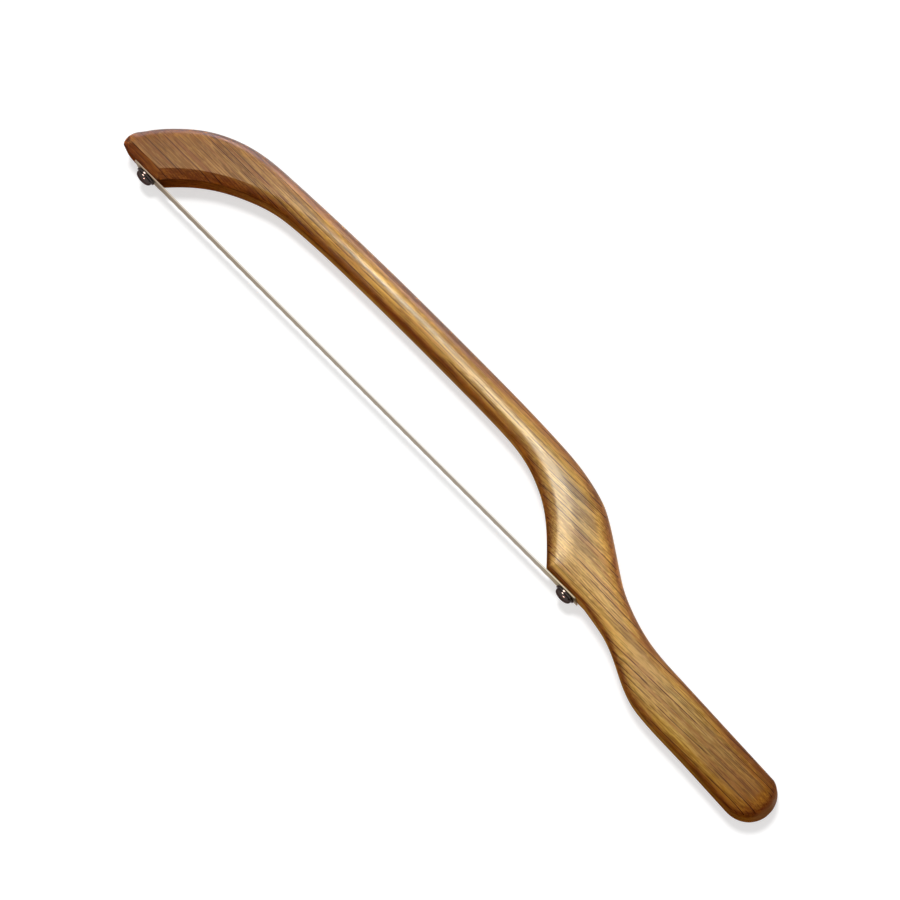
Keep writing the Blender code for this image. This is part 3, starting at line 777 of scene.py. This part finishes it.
def upper_outline(inner_side, back_side, place, crown):
    """The upper half of the bow's section at one place, from inner wall to back, as (y, z)."""
    least, most = 0.0, math.pi / 2
    crossed = inner_side.corner(place, most)[0] > back_side.corner(place, most)[0]
    for _ in range(HALVINGS if crossed else 0):
        angle = (least + most) / 2
        over = inner_side.corner(place, angle)[0] > back_side.corner(place, angle)[0]
        least, most = (least, angle) if over else (angle, most)
    angles = np.linspace(0, least if crossed else most, CORNER_STEPS + 1)
    inner = np.array([inner_side.corner(place, angle) for angle in angles])
    back = np.array([back_side.corner(place, angle) for angle in angles])
    if crossed:
        inner[:, 1] = back[:, 1] = (inner[:, 1] + back[:, 1]) / 2
        inner[-1, 0] = back[-1, 0] = (inner[-1, 0] + back[-1, 0]) / 2
    flat = back[-1, 0] - inner[-1, 0]
    beside = min(RIDGE_SPACE, flat / (FLAT_STEPS + 2))
    across = np.linspace(inner[-1, 0] + beside, back[-1, 0] - beside, FLAT_STEPS + 1)
    fall = min(crown, flat / CROWN_SPAN)
    height = MID_HEIGHT - inner[-1, 1]
    share = (across - inner[-1, 0]) / max(flat, MERGE_DISTANCE) * 2 - 1
    inner_wall, back_wall = (MID_HEIGHT - side[0, 1] for side in (inner, back))
    inner_ease, back_ease = (
        0 if crossed else min(WALL_EASE, wall / 2) for wall in (inner_wall, back_wall)
    )
    outline = [(inner[0, 0], 0.0), (inner[0, 0], inner_wall - inner_ease)]
    outline += [(y, MID_HEIGHT - drop - fall) for y, drop in inner]
    outline += [(y, height - fall * edge**2) for y, edge in zip(across, share)]
    outline += [(y, MID_HEIGHT - drop - fall) for y, drop in back[::-1]]
    outline += [(back[0, 0], back_wall - back_ease), (back[0, 0], 0.0)]
    return outline


def spaced(start, end, step):
    return np.linspace(start, end, max(1, round((end - start) / step)) + 1)


def bow_places():
    """Where the bow's sections stand: closer together where its outline turns."""
    rounds = 1 - np.cos(np.linspace(0, math.pi / 2, END_STEPS + 1))
    nose = NOSE_ROUND * rounds[::2] - NOSE_REACH
    butt = BUTT_X - BUTT_ROUND_INNER * rounds
    spans = (
        (NOSE_ROUND - NOSE_REACH, TIP_SEAT_LENGTH - MITRE, SEAT_STEP),
        (TIP_SEAT_LENGTH - MITRE, TIP_SEAT_LENGTH + MITRE / 2, MITRE / 8),
        (TIP_SEAT_LENGTH + MITRE / 2, ARM_SPAN[0], CURVE_STEP),
        (*ARM_SPAN, ARM_STEP),
        (ARM_SPAN[1], HEEL_SEAT_START - MITRE / 2, CURVE_STEP),
        (HEEL_SEAT_START - MITRE / 2, HEEL_SEAT_START + MITRE, MITRE / 8),
        (HEEL_SEAT_START + MITRE, BLADE_LENGTH + HANDLE_START, CURVE_STEP),
        (BLADE_LENGTH + HANDLE_START, BUTT_X - BUTT_ROUND_INNER, ARM_STEP),
    )
    places = [*nose, *butt]
    for span in spans:
        places += list(spaced(*span))
    places.sort()
    return [places[0]] + [b for a, b in zip(places, places[1:]) if b - a > MERGE_DISTANCE]


def loft(bm, sections):
    """Draws a ring along the sections, extruding it from each one to the next."""
    ring = [bm.verts.new(point) for point in sections[0]]
    edges = [bm.edges.new((a, b)) for a, b in zip(ring, ring[1:] + ring[:1])]
    for section in sections[1:]:
        grown = bmesh.ops.extrude_edge_only(bm, edges=edges)["geom"]
        fresh = {item for item in grown if isinstance(item, bmesh.types.BMVert)}
        edges = [item for item in grown if isinstance(item, bmesh.types.BMEdge)]
        edges = [edge for edge in edges if fresh.issuperset(edge.verts)]
        following = []
        for vert in ring:
            joined = [edge.other_vert(vert) for edge in vert.link_edges]
            following += [other for other in joined if other in fresh]
        for vert, point in zip(following, section):
            vert.co = point
        ring = following
    return ring


def new_object(name, bm):
    """An object of this bmesh, which is freed."""
    mesh = bpy.data.meshes.new(name)
    bm.to_mesh(mesh)
    bm.free()
    fresh = bpy.data.objects.new(name, mesh)
    bpy.context.scene.collection.objects.link(fresh)
    return fresh


def finish_piece(name, bm, material, node, cutters=()):
    """The piece of this mesh, cut and shaded, riding on the knife and standing for its node."""
    bmesh.ops.remove_doubles(bm, verts=bm.verts, dist=MERGE_DISTANCE)
    bmesh.ops.recalc_face_normals(bm, faces=bm.faces)
    piece = new_object(name, bm)
    for cutter in cutters:
        cut = piece.modifiers.new(cutter.name, "BOOLEAN")
        cut.operation = "DIFFERENCE"
        cut.object = cutter
    if cutters:
        evaluated = piece.evaluated_get(bpy.context.evaluated_depsgraph_get())
        piece.data = bpy.data.meshes.new_from_object(evaluated)
        piece.modifiers.clear()
        for cutter in cutters:
            bpy.data.objects.remove(cutter)
    piece.data.transform(Matrix.Translation(ORIGIN))
    piece.data.shade_smooth()
    piece.data.set_sharp_from_angle(angle=SHARP_ANGLE)
    piece.data.materials.clear()
    piece.data.materials.append(material)
    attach(piece, BODY)
    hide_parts(node)


def drill(name, end, radius, depth):
    """A cutter on the axis of the screw at this end, from outside the blade to this depth."""
    bm = bmesh.new()
    bmesh.ops.create_cone(
        bm,
        cap_ends=True,
        segments=TURN_STEPS,
        radius1=radius,
        radius2=radius,
        depth=depth + CUT_MARGIN,
    )
    bmesh.ops.rotate(bm, verts=bm.verts, matrix=Matrix.Rotation(math.pi / 2, 3, "X"))
    middle = (fixing_place(end), (depth - CUT_MARGIN) / 2, MID_HEIGHT)
    bmesh.ops.translate(bm, verts=bm.verts, vec=middle)
    return new_object(name, bm)


def fixing_place(end):
    """Where a screw's axis crosses the blade, along the blade."""
    low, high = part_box(f"{end}_screw")
    return (low.x + high.x) / 2 - ORIGIN.x


class CarveBow(bpy.types.Operator):
    """Carve the oak bow: loft it from nose to butt and drill it for the screws"""

    bl_idname = "bow_knife.carve_bow"
    bl_label = "Carve the bow"

    def execute(self, context):
        settings = context.scene.bow_knife_oak
        inner_side, back_side = trace_edges()
        sections = []
        for place in bow_places():
            crown = settings.crown * np.interp(place, *np.array(CROWN_SHARES).T)
            upper = upper_outline(inner_side, back_side, place, crown)
            lower = [(y, -z) for y, z in upper[-2:0:-1]]
            sections.append([(place, y, MID_HEIGHT + z) for y, z in upper + lower])
        bm = bmesh.new()
        loft(bm, sections)
        pilots = []
        for end in ENDS:
            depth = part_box(f"{end}_screw")[1].y - ORIGIN.y + PILOT_SPARE
            pilots.append(drill(f"{end}_pilot", end, PILOT_RADIUS, depth))
        finish_piece("oak_bow", bm, oiled_oak(settings), "bow_frame", pilots)
        return {"FINISHED"}


def scallop(place):
    """How high the cutting edge stands at this place: 0 at a point, 1 in the hollow's middle."""
    length = BLADE_LENGTH - 2 * PLAIN_END
    if not 0 < place - PLAIN_END < length:
        return 0.0
    along = (place - PLAIN_END) / length * SCALLOP_COUNT % 1
    return 1 - (2 * along - 1) ** 2


def blade_section(place):
    """The blade's outline at one place: spine, flat outer face, and an inner face that is ground
    down to the cutting edge."""
    from_end = min(place, BLADE_LENGTH - place)
    rounding = max(0.0, BLADE_CORNER - from_end)
    corner = BLADE_CORNER - math.sqrt(max(0.0, BLADE_CORNER**2 - rounding**2))
    top = MID_HEIGHT + BLADE_WIDTH / 2 - corner
    base = MID_HEIGHT - BLADE_WIDTH / 2
    hollow = scallop(place)
    edge = base + corner + SCALLOP_DEPTH * hollow
    grind = base + GRIND_HEIGHT - GRIND_WAVE * (1 - hollow)
    bevel = BLADE_THICKNESS - EDGE_THICKNESS if from_end > GRIND_FADE[0] + MERGE_DISTANCE else 0
    outer = -FACE_GAP - BLADE_THICKNESS
    return [
        (place, -FACE_GAP, top),
        (place, outer, top),
        (place, outer, grind),
        (place, outer, edge),
        (place, -FACE_GAP - bevel, edge),
        (place, -FACE_GAP, grind),
    ]


class GrindBlade(bpy.types.Operator):
    """Grind the scalloped blade and pierce it for the screws"""

    bl_idname = "bow_knife.grind_blade"
    bl_label = "Grind the blade"

    def execute(self, context):
        material = ground_steel(context.scene.bow_knife_steel)
        turns = np.linspace(0, math.pi / 2, BLADE_CORNER_STEPS + 1)
        ends = [BLADE_CORNER * (1 - math.cos(turn)) for turn in turns]
        ends += GRIND_FADE
        steps = SCALLOP_COUNT * SCALLOP_STEPS
        serrated = np.linspace(PLAIN_END, BLADE_LENGTH - PLAIN_END, steps + 1)
        places = sorted([*ends, *serrated, *(BLADE_LENGTH - step for step in ends)])
        sections = [blade_section(place) for place in places]
        bm = bmesh.new()
        last = loft(bm, sections)
        bm.faces.new(last)
        start = [vert for vert in bm.verts if vert.co.x < MERGE_DISTANCE]
        bmesh.ops.contextual_create(bm, geom=start)
        holes = [drill(f"{end}_hole", end, HOLE_RADIUS, CUT_MARGIN) for end in ENDS]
        finish_piece("serrated_blade", bm, material, "blade", holes)
        return {"FINISHED"}


def turned(profile, closed, place):
    """A bmesh turned from (radius, y) points about a screw's axis."""
    bm = bmesh.new()
    verts = [bm.verts.new((radius, out, 0)) for radius, out in profile]
    ahead = verts[1:] + verts[:1] if closed else verts[1:]
    edges = [bm.edges.new(pair) for pair in zip(verts, ahead)]
    bmesh.ops.spin(
        bm,
        geom=verts + edges,
        cent=(0, 0, 0),
        axis=(0, 1, 0),
        angle=2 * math.pi,
        steps=TURN_STEPS,
        use_merge=True,
    )
    bmesh.ops.translate(bm, verts=bm.verts, vec=(place, 0, MID_HEIGHT))
    return bm


def make_washer(end, material):
    low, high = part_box(f"{end}_washer")
    rim, bore, edge = (high.x - low.x) / 2, HOLE_RADIUS, WASHER_EDGE
    outer, inner = low.y - ORIGIN.y, high.y - ORIGIN.y
    profile = [
        (bore, inner),
        (bore, outer),
        (rim - edge, outer),
        (rim - 0.3 * edge, outer + 0.3 * edge),
        (rim, outer + edge),
        (rim, inner - edge),
        (rim - edge, inner),
    ]
    bm = turned(profile, True, fixing_place(end))
    finish_piece(f"{end}_flat_washer", bm, material, f"{end}_washer")


def recess_bar(end, name, turn, face):
    """One bar of the cutter for a head's cross recess, narrower at its bottom."""
    bm = bmesh.new()
    bmesh.ops.create_cube(bm, size=1)
    for vert in bm.verts:
        taper = 1 if vert.co.y < 0 else RECESS_TAPER
        vert.co.x *= RECESS_SPAN * taper
        vert.co.z *= RECESS_SLOT
        vert.co.y *= 2 * RECESS_DEPTH
    bmesh.ops.rotate(bm, verts=bm.verts, matrix=Matrix.Rotation(turn, 3, "Y"))
    bmesh.ops.translate(bm, verts=bm.verts, vec=(fixing_place(end), face, MID_HEIGHT))
    return new_object(f"{end}_recess_{name}", bm)


def make_screw(end, material):
    low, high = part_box(f"{end}_screw")
    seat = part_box(f"{end}_washer")[0].y - ORIGIN.y - FACE_GAP
    top, tip = low.y - ORIGIN.y, high.y - ORIGIN.y
    rim, height = (high.x - low.x) / 2, seat - top
    profile = [(0, top)]
    for turn in np.linspace(math.pi / 2, 0, DOME_STEPS)[1:]:
        radius = rim * math.cos(turn) ** HEAD_ROUNDNESS
        profile.append((radius, seat - height * math.sin(turn) ** HEAD_ROUNDNESS))
    profile += [(SHANK_RADIUS, seat), (SHANK_RADIUS, tip - SCREW_POINT), (0, tip)]
    bm = turned(profile, False, fixing_place(end))
    bars = [
        recess_bar(end, "along", -RECESS_TURN, top),
        recess_bar(end, "across", -RECESS_TURN - math.pi / 2, top),
    ]
    finish_piece(f"{end}_domed_screw", bm, material, f"{end}_screw", bars)


class TurnFixings(bpy.types.Operator):
    """Turn the screws and washers"""

    bl_idname = "bow_knife.turn_fixings"
    bl_label = "Turn the fixings"

    def execute(self, context):
        material = polished_steel(context.scene.bow_knife_steel)
        for end in ENDS:
            make_washer(end, material)
            make_screw(end, material)
        return {"FINISHED"}


def view_axes():
    """Right, up and backward directions of the photograph's camera."""
    sine, cosine, level = math.sin(VIEW_AZIMUTH), math.cos(VIEW_AZIMUTH), math.cos(VIEW_ELEVATION)
    back = Vector((sine * level, -cosine * level, math.sin(VIEW_ELEVATION)))
    right = Vector((cosine, sine, 0))
    turn = Matrix.Rotation(VIEW_ROLL, 3, back)
    return turn @ right, turn @ back.cross(right), back


def add_camera(scene):
    right, up, back = view_axes()
    data = bpy.data.cameras.new("photo_camera")
    data.sensor_width = SENSOR_WIDTH
    data.lens = PIXELS_PER_METRE * VIEW_DISTANCE / PHOTO_WIDTH * SENSOR_WIDTH
    data.clip_start = 0.05
    data.clip_end = 100
    camera = bpy.data.objects.new("photo_camera", data)
    turned_axes = Matrix((right, up, back)).transposed().to_4x4()
    middle = ORIGIN + VIEW_MIDDLE - right * (PIXELS_RIGHT / PIXELS_PER_METRE)
    camera.matrix_world = Matrix.Translation(middle + back * VIEW_DISTANCE) @ turned_axes
    scene.collection.objects.link(camera)
    scene.camera = camera


def seen_directly(owner):
    """1 for rays that show the background: from the camera, in a reflection or through glass."""
    rays = add_node(owner, "ShaderNodeLightPath").outputs
    shown = rays["Is Camera Ray"]
    for name in ("Is Glossy Ray", "Is Transmission Ray"):
        shown = add_node(owner, "ShaderNodeMath", (shown, rays[name]), operation="MAXIMUM")
    return shown


def add_floor(paper_glow):
    """A white sheet that keeps the shadow and throws a little light back onto the knife."""
    bm = bmesh.new()
    bmesh.ops.create_grid(bm, x_segments=1, y_segments=1, size=FLOOR_REACH)
    bmesh.ops.translate(bm, verts=bm.verts, vec=(0, 0, -FLOOR_DROP))
    floor = new_object("floor", bm)
    material = new_material("white_paper_sheet")
    node = partial(add_node, material)
    glow = {"Value": seen_directly(material), "To Min": BOUNCE, "To Max": paper_glow}
    light = node("ShaderNodeEmission", {"Strength": node("ShaderNodeMapRange", glow)})
    paper = node("ShaderNodeBsdfDiffuse", {"Color": (0.5, 0.5, 0.5, 1)})
    node("ShaderNodeOutputMaterial", (node("ShaderNodeAddShader", (paper, light)),))
    floor.data.materials.append(material)


def add_lamp(scene, name, kind, energy, direction, colour=(1, 1, 1)):
    """A lamp that shines against this direction, and whose kind is SUN or AREA."""
    data = bpy.data.lights.new(name, kind)
    data.energy = energy
    data.color = colour
    lamp = bpy.data.objects.new(name, data)
    lamp.rotation_euler = Vector(direction).to_track_quat("Z", "Y").to_euler()
    lamp.visible_camera = False
    scene.collection.objects.link(lamp)
    return lamp


def light_only(lamp, finish, reflected=True):
    """Keeps a lamp to the pieces of this material: to what they reflect, or to their own colour."""
    lamp.visible_diffuse = not reflected
    lamp.visible_glossy = reflected
    group = bpy.data.collections.new(f"{lamp.name}_lights")
    for piece in bpy.data.objects:
        if any(slot.material and slot.material.name == finish for slot in piece.material_slots):
            group.objects.link(piece)
    lamp.light_linking.receiver_collection = group


def add_world(scene, strength):
    """A white room, which the camera and reflections see at full strength."""
    world = bpy.data.worlds.new("white_room")
    scene.world = world
    world.use_nodes = True
    world.node_tree.nodes.clear()
    level = {"Value": seen_directly(world), "To Min": strength}
    level = add_node(world, "ShaderNodeMapRange", level)
    background = add_node(world, "ShaderNodeBackground", ((1, 1, 1, 1), level))
    add_node(world, "ShaderNodeOutputWorld", (background,))


class SetStage(bpy.types.Operator):
    """Set up the floor, the lamps and the camera"""

    bl_idname = "bow_knife.set_stage"
    bl_label = "Set the stage"

    def execute(self, context):
        scene = context.scene
        settings = scene.bow_knife_stage
        scene.view_settings.view_transform = "Standard"
        _, up, _ = view_axes()
        add_floor(settings.paper)
        add_world(scene, settings.room)
        level = Vector((up.x, up.y, 0)).normalized() * math.cos(KEY_ELEVATION)
        overhead = level + Vector((0, 0, math.sin(KEY_ELEVATION)))
        key = add_lamp(scene, "overhead_lamp", "SUN", settings.daylight * math.pi, overhead)
        key.data.angle = KEY_WIDTH
        key.visible_glossy = False
        for name, place, size, energy, colour in GLOSS_LAMPS:
            direction = Vector(place) - GLOSS_TARGET
            lamp = add_lamp(scene, name, "AREA", energy, direction, linear(colour))
            lamp.data.size = size
            lamp.location = ORIGIN + Vector(place)
            light_only(lamp, "oil_rubbed_oak")
        for name, direction, angle, energy, colour, finish in GLOSS_SUNS:
            lamp = add_lamp(scene, name, "SUN", energy, direction, linear(colour))
            lamp.data.angle = math.radians(angle)
            light_only(lamp, finish)
        direction, angle, strength = BACK_FILL
        fill = add_lamp(scene, "back_fill", "SUN", strength, direction)
        fill.data.angle = math.radians(angle)
        light_only(fill, "oil_rubbed_oak", reflected=False)
        add_camera(scene)
        return {"FINISHED"}


class BowKnifePanel(bpy.types.Panel):
    """Lists the knife's settings and the steps that make it"""

    bl_idname = "VIEW3D_PT_bow_knife"
    bl_label = "Bread Bow Knife"
    bl_space_type = "VIEW_3D"
    bl_region_type = "UI"
    bl_category = "Bow Knife"

    def draw(self, context):
        scene = context.scene
        for settings in (scene.bow_knife_oak, scene.bow_knife_steel, scene.bow_knife_stage):
            box = self.layout.box()
            for name in settings.__annotations__:
                box.prop(settings, name)
        for step in STEPS:
            self.layout.operator(step.bl_idname)


SETTINGS = {
    "bow_knife_oak": OakSettings,
    "bow_knife_steel": SteelSettings,
    "bow_knife_stage": StageSettings,
}
STEPS = (CarveBow, GrindBlade, TurnFixings, SetStage)
CLASSES = (*SETTINGS.values(), *STEPS, BowKnifePanel)


def register():
    for cls in CLASSES:
        bpy.utils.register_class(cls)
    for name, group in SETTINGS.items():
        setattr(bpy.types.Scene, name, bpy.props.PointerProperty(type=group))


def unregister():
    for name in SETTINGS:
        delattr(bpy.types.Scene, name)
    for cls in reversed(CLASSES):
        bpy.utils.unregister_class(cls)


def main():
    register()
    bpy.ops.bow_knife.carve_bow()
    bpy.ops.bow_knife.grind_blade()
    bpy.ops.bow_knife.turn_fixings()
    bpy.ops.bow_knife.set_stage()


if __name__ == "__main__":
    main()
